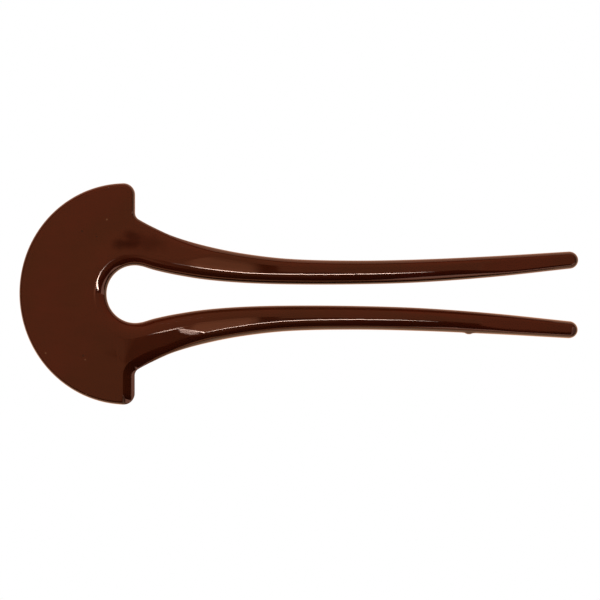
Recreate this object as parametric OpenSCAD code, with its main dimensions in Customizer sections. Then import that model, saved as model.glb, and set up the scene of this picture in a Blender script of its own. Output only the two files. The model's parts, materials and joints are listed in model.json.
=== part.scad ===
// A hair fork in one piece of polished plastic: a half-moon head, a round eye where its two
// prongs meet, and a lengthwise bow that follows the back of a head of hair.
// X runs from the head to the tips, Y across the prongs and Z up through the bow.
// The fork rests on its tips and on the rim of its head. All sizes are in millimetres.

/* [Overall] */
// Length from the head's round rim to the tips
overall_length = 110; // [106:1:114]
// Height that the bow lifts the middle above the ends
bow_rise = 6; // [3:0.5:9]
// Width of the rounding along the prongs' edges
edge_round = 2.1; // [1.8:0.1:2.2]

/* [Head] */
// Width of the half-moon across its ears
head_width = 43.4; // [42:0.1:45]
// Depth of the half-moon from its round rim to the straight edges of its ears
head_depth = 22.95; // [22:0.05:24]
// Distance from the straight edges back to the widest line of the half-moon
head_belly = 1.85; // [1.6:0.05:2.1]
// Thickness of the plate
head_thickness = 2.4; // [2.2:0.1:2.8]
// Width of the rounding along the head's round rim and its ears
head_round = 0.8; // [0.6:0.1:1]
// Radius of the ears' corners
ear_radius = 2.25; // [2.25:0.05:2.5]
// Radius of the fillet between an ear and its prong
fillet_radius = 1.5; // [1.2:0.1:2]

/* [Eye] */
// Diameter of the round eye between the roots of the prongs
eye_diameter = 11.25; // [10.5:0.05:11.5]
// Width of the rounding around the eye
eye_round = 2.35; // [2.1:0.05:2.5]
// Width of the level top of the rim, beside that rounding
rim_level = 0.45; // [0.3:0.05:0.6]
// Thickness of the raised rim on the head's side of the eye
rim_thickness = 3.4; // [3:0.1:3.6]

/* [Prongs] */
// Thickness along the crest of a prong
prong_thickness = 4; // [3.6:0.1:4.2]
// Thickness where the round tip begins
tip_thickness = 3.4; // [3:0.1:3.6]
// Width of the rounding along the edges near the tips
tip_round = 1; // [0.8:0.1:1.2]
// Length of the round end of a prong
tip_length = 1.8; // [1.6:0.05:2]
// Angle of a prong's outer edge to X where it leaves the fillet
root_outer_angle = 30; // [26:1:32]
// Angle of a prong's inner edge to X where it leaves the eye
root_inner_angle = 15; // [13:1:17]

/* [Hidden] */
// Edges of a prong as distances from the middle line, at shares of the way from root to tip
SHARE = 0;
INNER = 1;
OUTER = 2;
prong_rows = [
    // share, inner, outer
    [0.00, 5.45, 14.65],
    [0.03, 4.70, 13.30],
    [0.08, 3.80, 11.40],
    [0.15, 2.90, 9.65],
    [0.24, 2.30, 8.10],
    [0.35, 2.05, 7.05],
    [0.50, 2.10, 6.75],
    [0.65, 2.50, 7.00],
    [0.82, 3.55, 7.65],
    [1.00, 5.15, 8.55]
];
last_row = len(prong_rows) - 1;

// Share from which the level top widens over the web, and its widening per unit of share
web_from = 0.085;
web_spread = 28;
// Share from which the prong thins, and shares between which its rounding narrows
thin_from = 0.5;
narrow_from = 0.7;
narrow_to = 0.88;
// Width of the slope from the level top down to the plate, and the part of it that starts
// or ends softly
fall_width = 5.2;
fall_ease = 0.12;
// The rim rises to the prongs' thickness from this far behind the ears, over this length
rise_behind = 2.5;
rise_length = 15;
// Place along X of the bow's highest line, which lets the fork rest on its head and tips alike
crown_x = 1;

// Steps between cross-sections along each stretch of the half outline, and around a section
arc_steps = 12;
corner_steps = 6;
ear_steps = 3;
fillet_steps = 4;
prong_steps = 24;
tip_steps = 6;
round_steps = 6;
flat_steps = 6;

// The eye's angles at which the outer edge reaches the ear's corner, its straight edge,
// the fillet and the prong
eye_at_corner = 122;
eye_at_edge = 115;
eye_at_fillet = 108;
eye_at_prong = 90 - root_inner_angle;

half_length = overall_length / 2;
ear_x = head_depth - half_length;
eye_r = eye_diameter / 2;
belly_x = ear_x - head_belly;
arc_a = half_length + belly_x;
arc_b = head_width / 2;
bow_r = half_length * half_length / (2 * bow_rise) + bow_rise / 2;

// Ear corner: a circle inside the arc and the straight edge, and the arc's angle at their joint
corner_x = ear_x - ear_radius;
arc_end = acos((corner_x - belly_x) / (arc_a - ear_radius * arc_b / arc_a));
corner_turn = atan2(sin(arc_end) / arc_b, cos(arc_end) / arc_a);
corner_y = arc_b * sin(arc_end) - ear_radius * sin(corner_turn);

// Fillet: a circle outside the ear's edge that also touches the first row of the prong
fillet_x = ear_x + fillet_radius;
fillet_y = prong_rows[0][OUTER] + fillet_radius * cos(root_outer_angle);
fillet_turn = 270 - root_outer_angle;

// Where the prong's edges begin, and the round tip's radius, middle and direction
inner_start_x = ear_x + eye_r * cos(eye_at_prong);
outer_start_x = fillet_x - fillet_radius * sin(root_outer_angle);
tip_r = (prong_rows[last_row][OUTER] - prong_rows[last_row][INNER]) / 2;
tip_y = (prong_rows[last_row][OUTER] + prong_rows[last_row][INNER]) / 2;
tip_x = half_length - tip_length;
tip_angle = 4.5;

function unit(angle) = [cos(angle), sin(angle)];
function mix(a, b, t) = a + (b - a) * t;
function smooth(low, high, v) =
    let (t = min(1, max(0, (v - low) / (high - low))))
    t * t * (3 - 2 * t);

// An even slope from 0 to 1 that starts and ends softly
function soft_start(t) = t * t / (2 * fall_ease * (1 - fall_ease));
function ramp(t) =
    t <= 0 ? 0 :
    t >= 1 ? 1 :
    t < fall_ease ? soft_start(t) :
    t > 1 - fall_ease ? 1 - soft_start(1 - t) :
    (t - fall_ease / 2) / (1 - fall_ease);

// Slope of a prong's edge at a row, per unit of share: the chord between its neighbours
function row_slope(edge, i, start_slope) =
    i == 0 ? start_slope :
    let (after = prong_rows[min(i + 1, last_row)], before = prong_rows[i - 1])
    (after[edge] - before[edge]) / (after[SHARE] - before[SHARE]);

// Place of a prong's edge at a share of its length: a cubic through the rows and their slopes
function edge_y(edge, share, start_slope) =
    let (
        i = max([for (k = [0:last_row - 1]) if (prong_rows[k][SHARE] <= share) k]),
        a = prong_rows[i],
        b = prong_rows[i + 1],
        span = b[SHARE] - a[SHARE],
        t = (share - a[SHARE]) / span,
        rise_a = row_slope(edge, i, start_slope) * span,
        rise_b = row_slope(edge, i + 1, start_slope) * span
    )
    a[edge] + t * (rise_a + t * (3 * (b[edge] - a[edge]) - 2 * rise_a - rise_b
        + t * (2 * (a[edge] - b[edge]) + rise_a + rise_b)));

// A point of a prong's edge and the direction into the plastic there
function prong_edge(edge, share) =
    let (
        start_x = edge == INNER ? inner_start_x : outer_start_x,
        reach = tip_x - start_x,
        start_slope = -reach * tan(edge == INNER ? root_inner_angle : root_outer_angle),
        step = 0.002,
        low = max(0, share - step),
        high = min(1, share + step),
        rise = edge_y(edge, high, start_slope) - edge_y(edge, low, start_slope),
        along = atan2(rise, (high - low) * reach)
    )
    [[start_x + share * reach, edge_y(edge, share, start_slope)],
     along + (edge == INNER ? 90 : -90)];

// A point of the eye and the direction into the plastic there
function eye_edge(angle) = [[ear_x, 0] + eye_r * unit(angle), angle];

// Half the thickness along the crest, by the place of the inner edge along X
function crest_half(x) =
    mix(rim_thickness, prong_thickness, ramp((x - ear_x + rise_behind) / rise_length)) / 2;

// A station is the place of one cross-section: its inner and its outer edge point, each with
// the direction into the plastic, then the widths of the rounding at both, half the
// thickness at its crest and the width of its level top.
function head_station(angle, outer_point, outer_turn, outer_round) =
    let (inner = eye_edge(angle))
    [inner, [outer_point, outer_turn], eye_round, outer_round, crest_half(inner[0][0]), rim_level];

arc_stations = [
    for (k = [0:arc_steps - 1])
    let (
        t = mix(180, arc_end, k / arc_steps),
        turn = atan2(sin(t) / arc_b, cos(t) / arc_a)
    )
    head_station(mix(180, eye_at_corner, k / arc_steps),
        [belly_x + arc_a * cos(t), arc_b * sin(t)], turn + 180, head_round)
];

corner_stations = [
    for (k = [0:corner_steps - 1])
    let (turn = mix(corner_turn, 0, k / corner_steps))
    head_station(mix(eye_at_corner, eye_at_edge, k / corner_steps),
        [corner_x, corner_y] + ear_radius * unit(turn), turn + 180, head_round)
];

ear_stations = [
    for (k = [0:ear_steps - 1])
    head_station(mix(eye_at_edge, eye_at_fillet, k / ear_steps),
        [ear_x, mix(corner_y, fillet_y, k / ear_steps)], 180, head_round)
];

fillet_stations = [
    for (k = [0:fillet_steps - 1])
    let (
        turn = mix(180, fillet_turn, k / fillet_steps),
        outer_round = mix(head_round, edge_round, pow(k / fillet_steps, 2))
    )
    head_station(mix(eye_at_fillet, eye_at_prong, k / fillet_steps),
        [fillet_x, fillet_y] + fillet_radius * unit(turn), turn, outer_round)
];

// Sections stand closer together near the root, where the edges bend most
prong_stations = [
    for (k = [0:prong_steps])
    let (
        share = pow(k / prong_steps, 1.5),
        inner = prong_edge(INNER, share),
        crest = mix(crest_half(inner[0][0]), tip_thickness / 2, smooth(thin_from, 1, share)),
        root_round = mix(eye_round, edge_round, smooth(0.12, 0.26, share)),
        narrowing = smooth(narrow_from, narrow_to, share),
        level = rim_level + web_spread * max(0, share - web_from)
    )
    [inner, prong_edge(OUTER, share), mix(root_round, tip_round, narrowing),
     mix(edge_round, tip_round, narrowing), crest, level]
];

// The tip is half an ellipsoid, cut across the prong's own direction
tip_centre = [tip_x, tip_y];
tip_stations = [
    for (k = [1:tip_steps - 1])
    let (
        turn = 90 * k / tip_steps,
        middle = tip_centre + tip_length * sin(turn) * unit(tip_angle),
        side = tip_r * cos(turn) * unit(tip_angle + 90),
        half = tip_thickness / 2 * cos(turn)
    )
    [[middle - side, tip_angle + 90], [middle + side, tip_angle - 90],
     tip_round, tip_round, half, web_spread]
];
tip_point = tip_centre + tip_length * unit(tip_angle);

half_stations = concat(arc_stations, corner_stations, ear_stations, fillet_stations,
    prong_stations, tip_stations);

// The cross-section at a station, as points [x, y, z] around it before the bow. Both edges
// round over as quarter ellipses, and beyond the level top the surface falls to the plate.
function section(station) =
    let (
        inner = station[0],
        outer = station[1],
        widest = 0.46 * norm(outer[0] - inner[0]),
        inner_w = min(station[2], widest),
        outer_w = min(station[3], widest),
        crest = station[4],
        level = station[5],
        fall = max(0, crest - head_thickness / 2),
        crest_at = inner[0] + inner_w * unit(inner[1]),
        flat_end = outer[0] + outer_w * unit(outer[1]),
        flat_w = norm(flat_end - crest_at),
        top = concat(
            [for (k = [0:round_steps])
                let (turn = 90 * k / round_steps, in = inner_w * (1 - cos(turn)))
                [inner[0] + in * unit(inner[1]), crest * sin(turn)]],
            [for (k = [1:flat_steps - 1])
                let (along = pow(k / flat_steps, 1.3))
                [mix(crest_at, flat_end, along),
                 crest - fall * ramp((along * flat_w - level) / fall_width)]],
            [for (k = [round_steps:-1:0])
                let (
                    turn = 90 * k / round_steps,
                    in = outer_w * (1 - cos(turn)),
                    fallen = fall * ramp((flat_w + outer_w - in - level) / fall_width)
                )
                [outer[0] + in * unit(outer[1]), (crest - fallen) * sin(turn)]]
        ),
        last = len(top) - 1
    )
    concat(
        [for (p = top) [p[0][0], p[0][1], p[1]]],
        [for (k = [last - 1:-1:1]) [top[k][0][0], top[k][0][1], -top[k][1]]]
    );

function mirrored(ring) = [for (p = ring) [p[0], -p[1], p[2]]];

// The bow: each point moves square to an arc whose crown is level with X
function bowed(p) =
    let (lean = asin((p[0] - crown_x) / bow_r))
    [p[0] + p[2] * sin(lean), p[1], bow_r * (cos(lean) - 1) + p[2] * cos(lean)];

half_rings = [for (station = half_stations) section(station)];
half_count = len(half_rings);
rings = concat(
    [for (k = [half_count - 1:-1:0]) half_rings[k]],
    [for (k = [1:half_count - 1]) mirrored(half_rings[k])]
);
ring_count = len(rings);
ring_size = len(rings[0]);
flat_points = concat(
    [[tip_point[0], tip_point[1], 0]],
    [for (ring = rings) each ring],
    [[tip_point[0], -tip_point[1], 0]]
);
bow_points = [for (p = flat_points) bowed(p)];
lowest = min([for (p = bow_points) p[2]]);
points = [for (p = bow_points) p - [0, 0, lowest]];

// Number of a point from its ring and its place around the ring
function at(ring, k) = 1 + ring * ring_size + k % ring_size;
end_point = len(points) - 1;
// The patches between rings are cut along diagonals that mirror in the XZ plane
faces = concat(
    [for (k = [0:ring_size - 1]) [0, at(0, k), at(0, k + 1)]],
    [for (r = [0:ring_count - 2]) for (k = [0:ring_size - 1]) each r < half_count - 1 ? [
        [at(r, k), at(r + 1, k), at(r, k + 1)],
        [at(r + 1, k), at(r + 1, k + 1), at(r, k + 1)]
    ] : [
        [at(r, k), at(r + 1, k), at(r + 1, k + 1)],
        [at(r, k), at(r + 1, k + 1), at(r, k + 1)]
    ]],
    [for (k = [0:ring_size - 1]) [end_point, at(ring_count - 1, k + 1), at(ring_count - 1, k)]]
);

module hair_fork() {
    color("#4c2110")
    polyhedron(points = points, faces = faces, convexity = 6);
}

hair_fork();
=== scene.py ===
import json
import math

import bmesh
import bpy
from mathutils import Matrix, Vector

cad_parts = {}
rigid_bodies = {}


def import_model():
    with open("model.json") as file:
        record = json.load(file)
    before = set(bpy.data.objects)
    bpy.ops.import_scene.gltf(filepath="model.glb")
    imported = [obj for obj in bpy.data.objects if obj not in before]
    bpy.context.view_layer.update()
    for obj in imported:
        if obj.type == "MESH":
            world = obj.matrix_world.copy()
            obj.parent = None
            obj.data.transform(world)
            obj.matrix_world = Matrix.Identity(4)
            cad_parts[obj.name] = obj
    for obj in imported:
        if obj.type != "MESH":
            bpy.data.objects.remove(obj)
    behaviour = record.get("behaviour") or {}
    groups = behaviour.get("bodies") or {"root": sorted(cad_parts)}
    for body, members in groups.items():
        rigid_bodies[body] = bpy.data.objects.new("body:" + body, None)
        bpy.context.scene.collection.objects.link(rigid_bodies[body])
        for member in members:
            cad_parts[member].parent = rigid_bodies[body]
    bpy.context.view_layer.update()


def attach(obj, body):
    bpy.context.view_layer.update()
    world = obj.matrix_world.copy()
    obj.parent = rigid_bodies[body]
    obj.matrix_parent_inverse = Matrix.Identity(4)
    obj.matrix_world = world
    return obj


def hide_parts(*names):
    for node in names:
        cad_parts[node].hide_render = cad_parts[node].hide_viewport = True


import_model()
body = "root"
scene = bpy.context.scene

# The fork is one piece of brown acetate: a half-moon head, a round eye and two prongs.
# Every edge is rounded over and polished, and the piece is bent to a lengthwise bow.
# Its cross-section is drawn along the outline in millimetres and brought to metres at the end.
overall_length = 110.0
bow_rise = 6.0
crown_x = 1.0
head_width = 43.4
head_depth = 22.95
head_belly = 1.85
head_thickness = 2.4
head_round = 0.8
ear_radius = 2.25
fillet_radius = 1.5
eye_radius = 11.25 / 2
eye_round = 2.35
rim_thickness = 3.4
rim_level = 0.45
rise_behind, rise_length = 2.5, 15.0
prong_thickness = 4.0
prong_round = 2.1
root_angle = {"inner": math.radians(15), "outer": math.radians(30)}
tip_round = 1.0
tip_thickness = 3.4
tip_length = 1.8
tip_angle = math.radians(4.5)

# Widths of the rounding at an ear, at its prong's root and along the prong. A power over 1 makes
# the rounding a flat bevel, as the polishing wheel left it on the lower ear.
upper_ear = {"round": 0.6, "root_round": 1.0, "prong_round": 1.5, "power": 1.0}
lower_ear = {"round": 2.1, "root_round": 2.1, "prong_round": 2.1, "power": 1.85}

# Distances of a prong's edges from the middle line, at shares of the way from root to tip
prong_rows = [
    {"share": 0.00, "inner": 5.45, "outer": 14.65},
    {"share": 0.03, "inner": 4.70, "outer": 13.30},
    {"share": 0.08, "inner": 3.80, "outer": 11.40},
    {"share": 0.15, "inner": 2.90, "outer": 9.65},
    {"share": 0.24, "inner": 2.30, "outer": 8.10},
    {"share": 0.35, "inner": 2.05, "outer": 7.05},
    {"share": 0.50, "inner": 2.10, "outer": 6.75},
    {"share": 0.65, "inner": 2.50, "outer": 7.00},
    {"share": 0.82, "inner": 3.55, "outer": 7.65},
    {"share": 1.00, "inner": 5.15, "outer": 8.55},
]

# Shares of the way along a prong between which its form changes
outer_round_grows = (0, 0.07)
bevel_fades = (0, 0.08)
top_settles = (0.04, 0.1)
inner_round_shrinks = (0.12, 0.26)
prong_thins = (0.5, 1)
edges_narrow = (0.7, 0.88)

# The level top widens over the web of a root, and beyond it the surface falls to the plate
web_from = 0.085
web_spread = 28.0
fall_width = 5.2
fall_ease = 0.12
# Both ends of the level top drop a little before the roundings begin
settle_reach, settle_slope = 1.0, 0.015
# A rounding takes at most this share of a cross-section's width
widest_round = 0.46
# The bevel takes its form within this share of the way round the ear's corner
corner_bevel_grows = (0, 0.12)
least_cosine = 0.05

arc_steps, corner_steps, ear_steps, fillet_steps, prong_steps, tip_steps = 48, 16, 8, 14, 190, 14
round_steps, flat_steps = 12, 14
# Cross-sections stand closer near the root, and their points closer to the crest
root_crowding, crest_crowding = 1.3, 1.6
share_step = 0.002
# The last point of the level top stands this far before the rounding, or at this share of it
gap_before_round, least_last_share = 0.02, 0.95

half_length = overall_length / 2
ear_x = head_depth - half_length
belly_x = ear_x - head_belly
arc_a = half_length + belly_x
arc_b = head_width / 2
bow_radius = half_length**2 / (2 * bow_rise) + bow_rise / 2
corner_x = ear_x - ear_radius
arc_end = math.acos((corner_x - belly_x) / (arc_a - ear_radius * arc_b / arc_a))
corner_turn = math.atan2(math.sin(arc_end) / arc_b, math.cos(arc_end) / arc_a)
corner_y = arc_b * math.sin(arc_end) - ear_radius * math.sin(corner_turn)
fillet_x = ear_x + fillet_radius
fillet_y = prong_rows[0]["outer"] + fillet_radius * math.cos(root_angle["outer"])
fillet_end = math.radians(270) - root_angle["outer"]
eye_at_corner, eye_at_edge, eye_at_fillet = math.radians(122), math.radians(115), math.radians(108)
eye_at_prong = math.radians(90) - root_angle["inner"]
start_x = {
    "inner": ear_x + eye_radius * math.cos(eye_at_prong),
    "outer": fillet_x - fillet_radius * math.sin(root_angle["outer"]),
}
tip_x = half_length - tip_length
tip_y = (prong_rows[-1]["outer"] + prong_rows[-1]["inner"]) / 2
tip_radius = (prong_rows[-1]["outer"] - prong_rows[-1]["inner"]) / 2
tip_point = Vector((tip_x, tip_y)) + tip_length * Vector((math.cos(tip_angle), math.sin(tip_angle)))


def unit(angle):
    return Vector((math.cos(angle), math.sin(angle)))


def mix(a, b, t):
    return a + (b - a) * t


def smooth(low, high, value):
    """A soft step from 0 at the low value to 1 at the high value."""
    t = min(1.0, max(0.0, (value - low) / (high - low)))
    return t * t * (3 - 2 * t)


def ramp(t):
    """An even slope from 0 to 1 that starts and ends softly."""
    t = min(1.0, max(0.0, t))
    if t < fall_ease:
        return t * t / (2 * fall_ease * (1 - fall_ease))
    if t > 1 - fall_ease:
        return 1 - (1 - t) ** 2 / (2 * fall_ease * (1 - fall_ease))
    return (t - fall_ease / 2) / (1 - fall_ease)


def edge_slope(edge, i):
    """Slope of a prong's edge at a row, per unit of share."""
    if i == 0:
        return -(tip_x - start_x[edge]) * math.tan(root_angle[edge])
    after, before = prong_rows[min(i + 1, len(prong_rows) - 1)], prong_rows[i - 1]
    return (after[edge] - before[edge]) / (after["share"] - before["share"])


def edge_y(edge, share):
    """Distance of a prong's edge from the middle line: a cubic through the rows."""
    i = max(k for k in range(len(prong_rows) - 1) if prong_rows[k]["share"] <= share)
    a, b = prong_rows[i], prong_rows[i + 1]
    span = b["share"] - a["share"]
    t = (share - a["share"]) / span
    rise_a, rise_b = edge_slope(edge, i) * span, edge_slope(edge, i + 1) * span
    step = b[edge] - a[edge]
    bend = 3 * step - 2 * rise_a - rise_b
    return a[edge] + t * (rise_a + t * (bend + t * (rise_a + rise_b - 2 * step)))


def prong_edge(edge, share):
    """A point of a prong's edge and the angle of the direction into the plastic there."""
    low, high = max(0.0, share - share_step), min(1.0, share + share_step)
    reach = tip_x - start_x[edge]
    along = math.atan2(edge_y(edge, high) - edge_y(edge, low), (high - low) * reach)
    turn = math.radians(90) if edge == "inner" else math.radians(-90)
    return Vector((start_x[edge] + share * reach, edge_y(edge, share))), along + turn


def crest_half(x):
    """Half the thickness at the crest: the rim of the eye rises evenly to the prongs."""
    return mix(rim_thickness, prong_thickness, ramp((x - ear_x + rise_behind) / rise_length)) / 2


def head_station(eye_turn, outer_point, outer_turn, outer_round, outer_power):
    """A cross-section of the head, by its two edges and the shape of the outer one."""
    inner = (Vector((ear_x, 0)) + eye_radius * unit(eye_turn), eye_turn)
    return {
        "inner": inner,
        "outer": (outer_point, outer_turn),
        "inner_round": eye_round,
        "outer_round": outer_round,
        "outer_power": outer_power,
        "crest": crest_half(inner[0].x),
        "level": rim_level,
        "settle": 0.0,
    }


def half_outline(ear):
    """Cross-sections from the middle of the head round to one tip."""
    stations = []
    for k in range(arc_steps):
        turn = mix(math.pi, arc_end, k / arc_steps)
        outward = math.atan2(math.sin(turn) / arc_b, math.cos(turn) / arc_a)
        rim = Vector((belly_x + arc_a * math.cos(turn), arc_b * math.sin(turn)))
        eye_turn = mix(math.pi, eye_at_corner, k / arc_steps)
        stations.append(head_station(eye_turn, rim, outward + math.pi, head_round, 1.0))
    for k in range(corner_steps):
        # Round the corner the bevel is as wide as it takes for its inner edge to run on straight
        turn = mix(corner_turn, 0, k / corner_steps)
        rim = Vector((corner_x, corner_y)) + ear_radius * unit(turn)
        eye_turn = mix(eye_at_corner, eye_at_edge, k / corner_steps)
        level_end = (ear_radius - ear["round"]) / max(least_cosine, math.cos(turn))
        width = max(mix(head_round, ear["round"], k / corner_steps), ear_radius - level_end)
        power = mix(1, ear["power"], smooth(*corner_bevel_grows, k / corner_steps))
        stations.append(head_station(eye_turn, rim, turn + math.pi, width, power))
    for k in range(ear_steps):
        rim = Vector((ear_x, mix(corner_y, fillet_y, k / ear_steps)))
        eye_turn = mix(eye_at_edge, eye_at_fillet, k / ear_steps)
        stations.append(head_station(eye_turn, rim, math.pi, ear["round"], ear["power"]))
    for k in range(fillet_steps):
        turn = mix(math.pi, fillet_end, k / fillet_steps)
        rim = Vector((fillet_x, fillet_y)) + fillet_radius * unit(turn)
        eye_turn = mix(eye_at_fillet, eye_at_prong, k / fillet_steps)
        width = mix(ear["round"], ear["root_round"], k / fillet_steps)
        stations.append(head_station(eye_turn, rim, turn, width, ear["power"]))
    for k in range(prong_steps + 1):
        share = (k / prong_steps) ** root_crowding
        inner = prong_edge("inner", share)
        narrowing = smooth(*edges_narrow, share)
        thinning = smooth(*prong_thins, share)
        inner_round = mix(eye_round, prong_round, smooth(*inner_round_shrinks, share))
        outer_round = mix(ear["root_round"], ear["prong_round"], smooth(*outer_round_grows, share))
        stations.append({
            "inner": inner,
            "outer": prong_edge("outer", share),
            "inner_round": mix(inner_round, tip_round, narrowing),
            "outer_round": mix(outer_round, tip_round, narrowing),
            "outer_power": mix(ear["power"], 1, smooth(*bevel_fades, share)),
            "crest": mix(crest_half(inner[0].x), tip_thickness / 2, thinning),
            "level": rim_level + web_spread * max(0, share - web_from),
            "settle": settle_slope * smooth(*top_settles, share),
        })
    for k in range(1, tip_steps):
        turn = math.radians(90) * k / tip_steps
        middle = Vector((tip_x, tip_y)) + tip_length * math.sin(turn) * unit(tip_angle)
        side_turn = tip_angle + math.radians(90)
        side = tip_radius * math.cos(turn) * unit(side_turn)
        stations.append({
            "inner": (middle - side, side_turn),
            "outer": (middle + side, side_turn - math.pi),
            "inner_round": tip_round,
            "outer_round": tip_round,
            "outer_power": 1.0,
            "crest": tip_thickness / 2 * math.cos(turn),
            "level": web_spread,
            "settle": settle_slope,
        })
    return stations


def section(station):
    """Points round a cross-section: inner rounding, crest, plate, outer rounding, underside."""
    (inner, inner_turn), (outer, outer_turn) = station["inner"], station["outer"]
    crest, level, power = station["crest"], station["level"], station["outer_power"]
    fall = max(0, crest - head_thickness / 2)
    inward, backward = unit(inner_turn), unit(outer_turn)
    widest = widest_round * (outer - inner).length
    inner_round = min(station["inner_round"], widest)
    outer_round = min(station["outer_round"], widest)
    crest_at, flat_end = inner + inner_round * inward, outer + outer_round * backward
    flat_width = (flat_end - crest_at).length
    reach = min(settle_reach, flat_width / 2)
    drop = station["settle"] * reach / 2
    top = []
    for k in range(round_steps + 1):
        turn = math.radians(90) * k / round_steps
        into = inner_round * (1 - math.cos(turn))
        top.append((inner + into * inward, (crest - drop) * math.sin(turn)))
    for k in range(1, flat_steps + 1):
        along = max(least_last_share, 1 - gap_before_round / flat_width)
        if k < flat_steps:
            along = (k / flat_steps) ** crest_crowding
        fallen = fall * ramp((along * flat_width - level) / fall_width)
        settled = sum(max(0, 1 - d * flat_width / reach) ** 2 for d in (along, 1 - along))
        top.append((crest_at.lerp(flat_end, along), crest - fallen - drop * settled))
    for k in range(round_steps, -1, -1):
        turn = math.radians(90) * k / round_steps
        into = outer_round * (1 - abs(math.cos(turn)) ** power)
        fallen = fall * ramp((flat_width + outer_round - into - level) / fall_width)
        level_here = crest - drop - fallen
        top.append((outer + into * backward, level_here * math.sin(turn) ** power))
    upper = [Vector((point.x, point.y, height)) for point, height in top]
    lower = [Vector((point.x, point.y, -height)) for point, height in top[-2:0:-1]]
    return upper + lower


# Each half starts as a ring of vertices at the head's middle and is extruded to each next station
bm = bmesh.new()
for side, ear in ((1, upper_ear), (-1, lower_ear)):
    rings = [section(station) for station in half_outline(ear)]
    ring = bmesh.ops.create_circle(bm, segments=len(rings[0]), radius=1)["verts"]
    edges = list(dict.fromkeys(edge for vert in ring for edge in vert.link_edges))
    for vert, place in zip(ring, rings[0]):
        vert.co = (place.x, side * place.y, place.z)
    for places in rings[1:]:
        grown = bmesh.ops.extrude_edge_only(bm, edges=edges)["geom"]
        fresh = {v for v in grown if isinstance(v, bmesh.types.BMVert)}
        edges = [e for e in grown if isinstance(e, bmesh.types.BMEdge)]
        ring = [
            next(e.other_vert(v) for e in v.link_edges if e.other_vert(v) in fresh)
            for v in ring
        ]
        for vert, place in zip(ring, places):
            vert.co = (place.x, side * place.y, place.z)
    grown = bmesh.ops.extrude_edge_only(bm, edges=edges)["geom"]
    tip_ring = [v for v in grown if isinstance(v, bmesh.types.BMVert)]
    bmesh.ops.pointmerge(bm, verts=tip_ring, merge_co=(tip_point.x, side * tip_point.y, 0))
weld_distance = 0.0005
seam = [vert for vert in bm.verts if abs(vert.co.y) < weld_distance]
bmesh.ops.remove_doubles(bm, verts=seam, dist=weld_distance)
bmesh.ops.recalc_face_normals(bm, faces=bm.faces)
# The faces are made in an order that changes from run to run, so they are sorted
bm.verts.index_update()
bm.faces.sort(key=lambda face: face.verts[0].index * len(bm.verts) + face.verts[1].index)

# The bevel of the lower ear meets the flat face in a crisp edge
crisp = {"left": -36, "right": -28, "side": -11.5, "height": 1.19, "angle": math.radians(6)}
for edge in bm.edges:
    at_bevel = all(
        vert.co.z > crisp["height"]
        and crisp["left"] < vert.co.x < crisp["right"]
        and vert.co.y < crisp["side"]
        for vert in edge.verts
    )
    if at_bevel and edge.calc_face_angle() > crisp["angle"]:
        edge.smooth = False

# A nub of plastic is left on the outer side of the lower prong
nub = {"x": 33.3, "length": 0.9, "height": 0.28, "side": -7.2, "full_to": 0.6, "none_from": 1.7}
for vert in bm.verts:
    beside = abs(vert.co.x - nub["x"]) / nub["length"]
    if beside < 1 and vert.co.y < nub["side"]:
        swell = math.cos(math.radians(90) * beside)
        swell *= smooth(nub["none_from"], nub["full_to"], abs(vert.co.z))
        vert.co.y -= nub["height"] * swell

# The straight fork is bent over a round former, with the crown near the middle of its length
for vert in bm.verts:
    lean = math.asin((vert.co.x - crown_x) / bow_radius)
    vert.co = Vector((
        vert.co.x + vert.co.z * math.sin(lean),
        vert.co.y,
        bow_radius * (math.cos(lean) - 1) + vert.co.z * math.cos(lean),
    ))
bmesh.ops.translate(bm, verts=bm.verts, vec=(0, 0, -min(vert.co.z for vert in bm.verts)))
bmesh.ops.scale(bm, verts=bm.verts, vec=(0.001,) * 3)
for face in bm.faces:
    face.smooth = True
mesh = bpy.data.meshes.new("polished_fork")
bm.to_mesh(mesh)
bm.free()
fork = bpy.data.objects.new("polished_fork", mesh)
scene.collection.objects.link(fork)

acetate = bpy.data.materials.new("brown_acetate")
acetate.use_nodes = True
shader = acetate.node_tree.nodes["Principled BSDF"]
shader.inputs["IOR"].default_value = 1.5


def put(kind, values, tree=None, **settings):
    """A node of the plastic or of another tree, with values or links on its sockets."""
    tree = tree or acetate.node_tree
    node = tree.nodes.new("ShaderNode" + kind)
    for name, value in settings.items():
        setattr(node, name, value)
    for name, value in values.items():
        if isinstance(value, bpy.types.NodeSocket):
            tree.links.new(value, node.inputs[name])
        else:
            node.inputs[name].default_value = value
    return node


def maths(operation, a, b, c=0.0):
    return put("Math", {0: a, 1: b, 2: c}, operation=operation).outputs[0]


def noise(vector, scale, detail):
    """Even cloudiness from 0 to 1, at a scale per metre."""
    return put("TexNoise", {"Vector": vector, "Scale": scale, "Detail": detail}).outputs[0]


def fade(value, zero_at, one_at):
    """A mask that rises softly from 0 to 1."""
    values = {"Value": value, "From Min": zero_at, "From Max": one_at}
    return put("MapRange", values, interpolation_type="SMOOTHSTEP").outputs[0]


def blend(factor, a, b, tree=None):
    values = {"Factor": factor, "A": a, "B": b}
    return put("Mix", values, tree, data_type="RGBA").outputs["Result"]


coordinates = put("TexCoord", {})
place = coordinates.outputs["Object"]
topside = fade(put("SeparateXYZ", {0: coordinates.outputs["Normal"]}).outputs["Z"], 0.1, 0.3)


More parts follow.
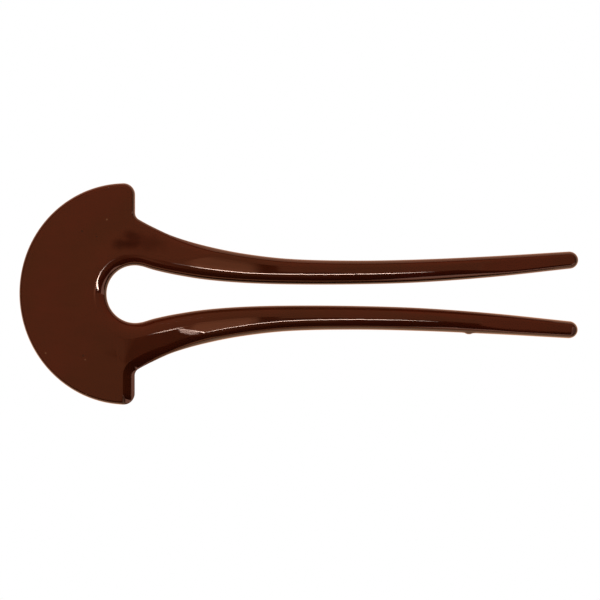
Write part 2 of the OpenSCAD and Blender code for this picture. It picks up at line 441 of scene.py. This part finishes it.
def patch(x, y, half_length_mm, half_width_mm, turn=0.0, ragged=0.0, soft=0.3):
    """A mask on the upper side: a spot or streak of a size in millimetres, with a ragged edge."""
    where = put("Mapping", {
        "Vector": place,
        "Location": (x * 0.001, y * 0.001, 0),
        "Rotation": (0, 0, math.radians(turn)),
        "Scale": (half_length_mm * 0.001, half_width_mm * 0.001, 1e6),
    }, vector_type="TEXTURE").outputs[0]
    away = put("VectorMath", {0: where}, operation="LENGTH").outputs["Value"]
    if ragged:
        away = maths("MULTIPLY_ADD", maths("SUBTRACT", noise(place, 420, 4), 0.5), ragged, away)
    return maths("MULTIPLY", fade(away, 0.85 + soft, 0.85 - soft), topside)


# The colour drifts between a redder and a duller brown, under a fine grain along the prongs
cloud = fade(noise(place, 75, 4), 0.38, 0.62)
drawn_out = put("Mapping", {"Vector": place, "Scale": (0.35, 1, 1)}).outputs[0]
grain = fade(noise(drawn_out, 520, 5), 0.35, 0.65)
colour = blend(cloud, (0.0405, 0.0064, 0.0015, 1), (0.0495, 0.0062, 0.0018, 1))
colour = blend(maths("MULTIPLY", grain, 0.16), colour, (0.026, 0.0045, 0.0014, 1))

# A dark reflection is painted into the colour at the upper root: a ragged dark patch and two
# streaks
painted_dark_reflection = patch(-33.2, 9.9, 2.7, 1.15, turn=3, ragged=1.6, soft=0.7)
for x, y, length, width, depth in ((-32.4, 11.2, 2.1, 1.1, 0.8), (-29.4, 9.9, 3.6, 1.5, 0.5)):
    painted_reflection_streak = maths("MULTIPLY", patch(x, y, length, width, turn=-6, ragged=1.6, soft=0.7), depth)
    painted_dark_reflection = maths("MAXIMUM", painted_dark_reflection, painted_reflection_streak)
# Painted dark reflection: under its mask the colour is darkened almost to black
colour = blend(maths("MULTIPLY", painted_dark_reflection, 0.65), colour, (0.012, 0.0012, 0.0006, 1))

# The painted dark reflection at the upper root and two spots, on the lower ear's corner and on the
# lower tip, shine less
dulled = painted_dark_reflection
for x, y, length, width in ((-34.2, -20.7, 0.45, 0.95), (54.3, -7.3, 0.65, 1.3)):
    dulled = maths("MAXIMUM", dulled, patch(x, y, length, width))
shine = maths("MULTIPLY_ADD", dulled, -0.32, 0.5)
acetate.node_tree.links.new(shine, shader.inputs["Specular IOR Level"])

# Dark pits and pale specks of dust
pits = ((-42.4, 12.3, 0.30), (-42.2, -12.1, 0.32), (-39.5, 11.2, 0.22), (9.65, -7.0, 0.30))
for x, y, size in pits:
    pit = maths("MULTIPLY", patch(x, y, size, size), 0.6)
    colour = blend(pit, colour, (0.012, 0.003, 0.0015, 1))
dust = ((-37.5, 14.6, 0.22), (-49.7, -11.7, 0.20), (-41.6, -19.7, 0.20), (-41.8, -12.9, 0.18))
for x, y, size in dust:
    speck = maths("MULTIPLY", patch(x, y, size, size), 0.5)
    colour = blend(speck, colour, (0.16, 0.07, 0.035, 1))
acetate.node_tree.links.new(colour, shader.inputs["Base Color"])

# The polish is a little uneven, and dull where the wheel didn't reach into the lower root
scuff = patch(-21.4, -7.3, 2.4, 0.62, turn=-9, ragged=1.1)
rubbed = maths("MULTIPLY", patch(-25.0, -6.9, 3.6, 0.13, turn=13, ragged=0.3, soft=0.6), 0.85)
wheel_run = {"Vector": place, "Rotation": (0, 0, math.radians(12)), "Scale": (0.12, 1, 1)}
wheel_marks = noise(put("Mapping", wheel_run).outputs[0], 1800, 3)
roughness = maths("MULTIPLY_ADD", wheel_marks, 0.02, 0.04)
roughness = maths("MULTIPLY_ADD", scuff, 0.17, roughness)
roughness = maths("MULTIPLY_ADD", rubbed, 0.16, roughness)
acetate.node_tree.links.new(roughness, shader.inputs["Roughness"])

# Slow waves of the hand-polished faces, and three small dents that break the bright lines
height = maths("MULTIPLY", noise(place, 240, 2), 0.3)
for x, y, size in ((0.6, 4.0, 0.28), (11.2, 4.0, 0.25), (13.0, -5.1, 0.3)):
    height = maths("MULTIPLY_ADD", patch(x, y, size, size), -0.5, height)
bump = put("Bump", {"Height": height, "Strength": 1.0, "Distance": 0.00002})
grainy = maths("MULTIPLY_ADD", grain, 0.2, 0.8)
facing = put("Mix", {
    "Factor": maths("MAXIMUM", rubbed, maths("MULTIPLY", scuff, grainy)),
    "A": bump.outputs["Normal"],
    "B": (-0.054, -0.039, 0.998),
}, data_type="VECTOR")
unit_normal = put("VectorMath", {0: facing.outputs["Result"]}, operation="NORMALIZE")
acetate.node_tree.links.new(unit_normal.outputs[0], shader.inputs["Normal"])
mesh.materials.append(acetate)
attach(fork, body)
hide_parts("hair_fork")

# The fork lies on a plain white sheet, lit so that it shows as pure white. In the polish the
# sheet looks warm, and brighter on the near side of the fork.
bm = bmesh.new()
bmesh.ops.create_grid(bm, x_segments=1, y_segments=1, size=2.5)
floor_mesh = bpy.data.meshes.new("floor")
bm.to_mesh(floor_mesh)
bm.free()
floor = bpy.data.objects.new("floor", floor_mesh)
scene.collection.objects.link(floor)
paper = bpy.data.materials.new("white_paper")
paper.use_nodes = True
sheet = paper.node_tree
sheet.nodes.clear()
rays = put("LightPath", {}, sheet).outputs
sheet_place = put("TexCoord", {}, sheet).outputs["Object"]
sheet_y = put("SeparateXYZ", {"Vector": sheet_place}, sheet).outputs["Y"]
near_side = put("MapRange", {"Value": sheet_y, "From Min": 0.004, "From Max": -0.01}, sheet)
mirrored = blend(near_side.outputs["Result"], (1.1, 0.56, 0.35, 1), (1.7, 0.92, 0.55, 1), sheet)
shown = blend(rays["Is Glossy Ray"], (1.2, 1.2, 1.2, 1), mirrored, sheet)
white = blend(rays["Is Camera Ray"], shown, (1, 1, 1, 1), sheet)
glow = put("Emission", {"Color": white}, sheet)
put("OutputMaterial", {"Surface": glow.outputs["Emission"]}, sheet)
floor_mesh.materials.append(paper)

# The air of the studio is white to the camera and all but dark to the polish. A small lamp at
# the upper left gives the colour.
world = bpy.data.worlds.new("studio")
world.use_nodes = True
air_tree = world.node_tree
rays = put("LightPath", {}, air_tree).outputs
air = put("Math", {
    0: rays["Is Glossy Ray"],
    1: 0.008,
    2: rays["Is Camera Ray"],
}, air_tree, operation="MULTIPLY_ADD")
air_tree.links.new(air.outputs["Value"], air_tree.nodes["Background"].inputs["Strength"])
air_tree.nodes["Background"].inputs["Color"].default_value = (1, 1, 1, 1)
scene.world = world


def lamp(name, size, radiance, tint=(1, 1, 1)):
    """A flat lamp that the camera doesn't see, by the brightness of its face."""
    data = bpy.data.lights.new(name, "AREA")
    data.shape = "RECTANGLE"
    data.size, data.size_y = size
    data.energy = radiance * math.pi * size[0] * size[1]
    data.color = tint
    shade = bpy.data.objects.new(name, data)
    scene.collection.objects.link(shade)
    shade.visible_camera = False
    return shade


key = lamp("key", (0.2, 0.2), 32)
key.location = Vector((-0.45, 0.58, 0.68)) * 0.6
key.rotation_mode = "QUATERNION"
key.rotation_quaternion = key.location.to_track_quat("Z", "Y")
key.visible_glossy = False

# A metre up hangs what the polish mirrors: a tube lamp and its glow, pale panels beside it, the
# ceiling, the right and the front wall, and boards where the two walls meet.
overhead_height, overhead_gap = 1, 0.001
tube_tint = (1, 0.70, 0.58)
ceiling_tint = (1, 0.345, 0.165)
tip_tint = (1, 0.26, 0.12)
right_tint = (1, 0.47, 0.33)
front_tint = (1, 0.34, 0.16)


def overhead(name, radiance, tint, spans):
    """Lamps that only the polish sees, each from left to right and from near to far."""
    for k, (left, right, near, far) in enumerate(spans):
        shade = lamp("%s_%d" % (name, k), (right - left, far - near), radiance, tint)
        height = overhead_height + overhead_gap * len(scene.objects)
        shade.location = ((left + right) / 2, (near + far) / 2, height)
        shade.visible_diffuse = False


overhead("tube", 13, tube_tint, (
    (-0.200, 0.200, -0.150, -0.115),
    (-0.225, 0.225, -0.150, -0.115),
    (-0.260, 0.260, -0.150, -0.115),
    (-0.300, 0.290, -0.150, -0.115),
))
overhead("tube_glow", 3, tube_tint, (
    (-0.312, 0.310, -0.150, -0.115),
    (-0.345, 0.310, -0.150, -0.115),
))
overhead("panel", 0.38, ceiling_tint, (
    (-0.310, -0.092, -0.115, -0.030),
    (-0.280, -0.100, -0.115, 0.000),
    (-0.250, -0.110, -0.115, 0.020),
))
overhead("ceiling", 0.7, ceiling_tint, (
    (-1.200, -0.400, -0.150, 4.0),
    (-0.400, -0.092, -0.115, 4.0),
    (-0.092, -0.052, 0.020, 4.0),
    (-0.052, 0.085, -0.035, 4.0),
    (0.085, 0.420, -0.060, 4.0),
))
overhead("near_ceiling", 0.25, ceiling_tint, ((-1.2, 0.085, -0.6, -0.150),))
overhead("near_left", 0.15, ceiling_tint, (
    (-1.2, -0.50, -0.6, -0.150),
    (-1.2, -0.45, -0.6, -0.150),
    (-1.2, -0.40, -0.6, -0.150),
))
overhead("tip_ceiling", 0.85, tip_tint, ((0.42, 4.0, -0.084, 4.0),))
overhead("right_wall", 2.4, right_tint, ((0.925, 12.0, -0.95, -0.06),))
overhead("board", 2.6, right_tint, (
    (0.450, 0.925, -3.6, -1.40),
    (0.925, 1.500, -3.6, -0.95),
    (1.500, 2.400, -1.7, -0.95),
))
overhead("front_wall", 1.6, front_tint, ((-8.0, 12.0, -14.0, -3.6),))

# The camera looks almost straight down from half a metre, leaning a little towards +Y
camera_data = bpy.data.cameras.new("camera")
camera_data.lens = 152.15
camera_data.sensor_width = 36
camera_data.clip_start = 0.05
camera = bpy.data.objects.new("camera", camera_data)
scene.collection.objects.link(camera)
distance, tilt, roll = 0.5, math.radians(1.942), math.radians(0.167)
target = Vector((0.000286, -0.001167, 0.0015))
back = Vector((0, math.sin(tilt), math.cos(tilt)))
up = Vector((0, math.cos(tilt), -math.sin(tilt)))
right = up.cross(back)
picture_right = right * math.cos(roll) + up * math.sin(roll)
picture_up = up * math.cos(roll) - right * math.sin(roll)
camera.location = target + distance * back
camera.rotation_mode = "QUATERNION"
axes = Matrix((picture_right, picture_up, back)).transposed()
camera.rotation_quaternion = axes.to_quaternion()
scene.camera = camera
scene.view_settings.view_transform = "Standard"
